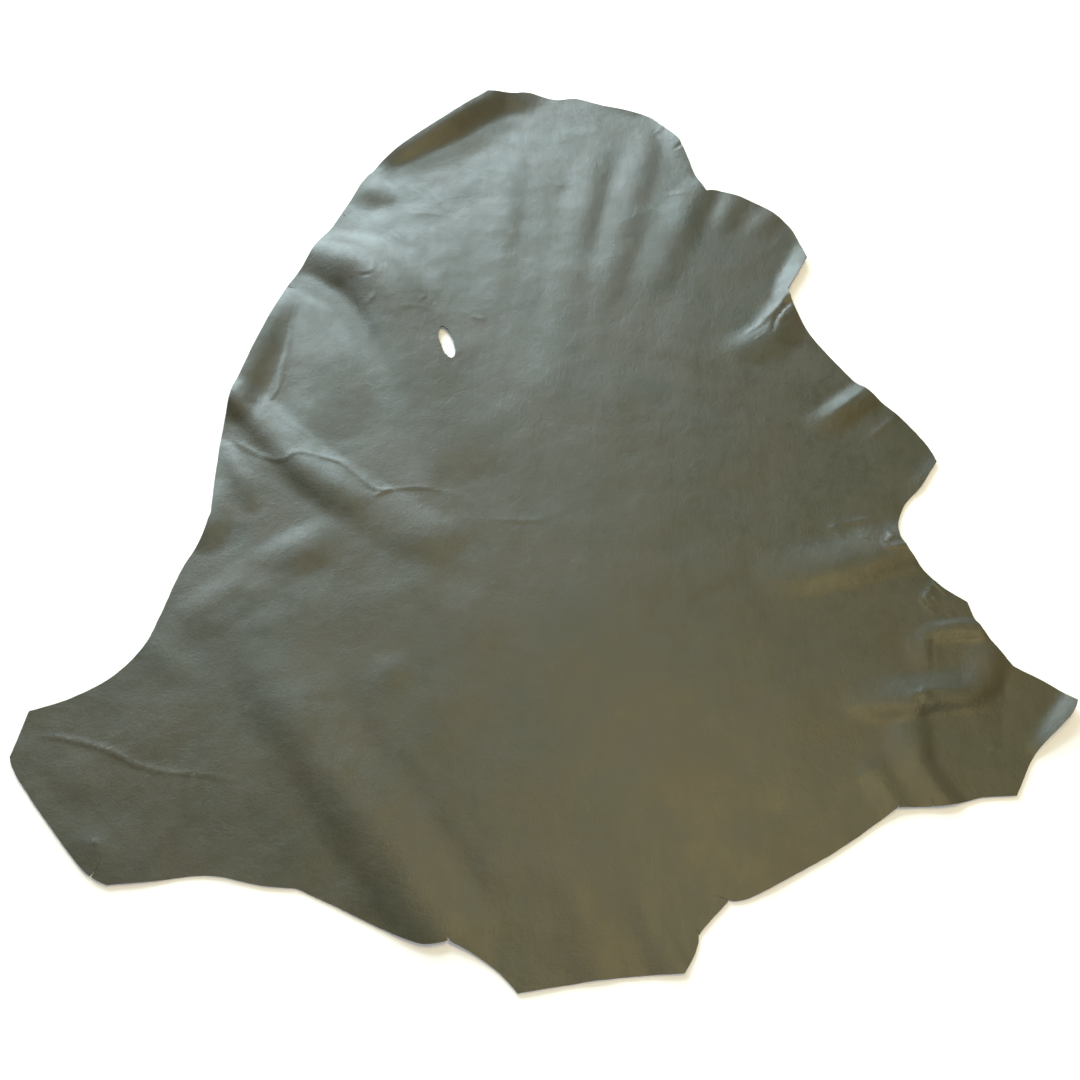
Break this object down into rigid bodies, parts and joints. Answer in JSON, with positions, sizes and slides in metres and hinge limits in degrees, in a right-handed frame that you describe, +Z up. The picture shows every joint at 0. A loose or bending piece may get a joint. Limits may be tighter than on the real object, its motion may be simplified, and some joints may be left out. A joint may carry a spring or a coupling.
{
  "type": "leather hide",
  "caption": "Whole finished leather hide laid out flat, one uneven sheet with soft folds, a flay hole and its natural outline.",
  "frame": {"origin": "on the floor, under the middle of the hide's box, at the level of its flesh side where it lies flat", "axes": "+X across the hide towards the foreleg on the viewer's right, +Y along the back from neck to rump, +Z up out of the grain side"},
  "size_m": [0.897, 1.052, 0.0153],
  "materials": {
    "leather": "semi-gloss smooth grain"
  },
  "bodies": {
    "root": {"hide": "leather"}
  },
  "joints": []
}
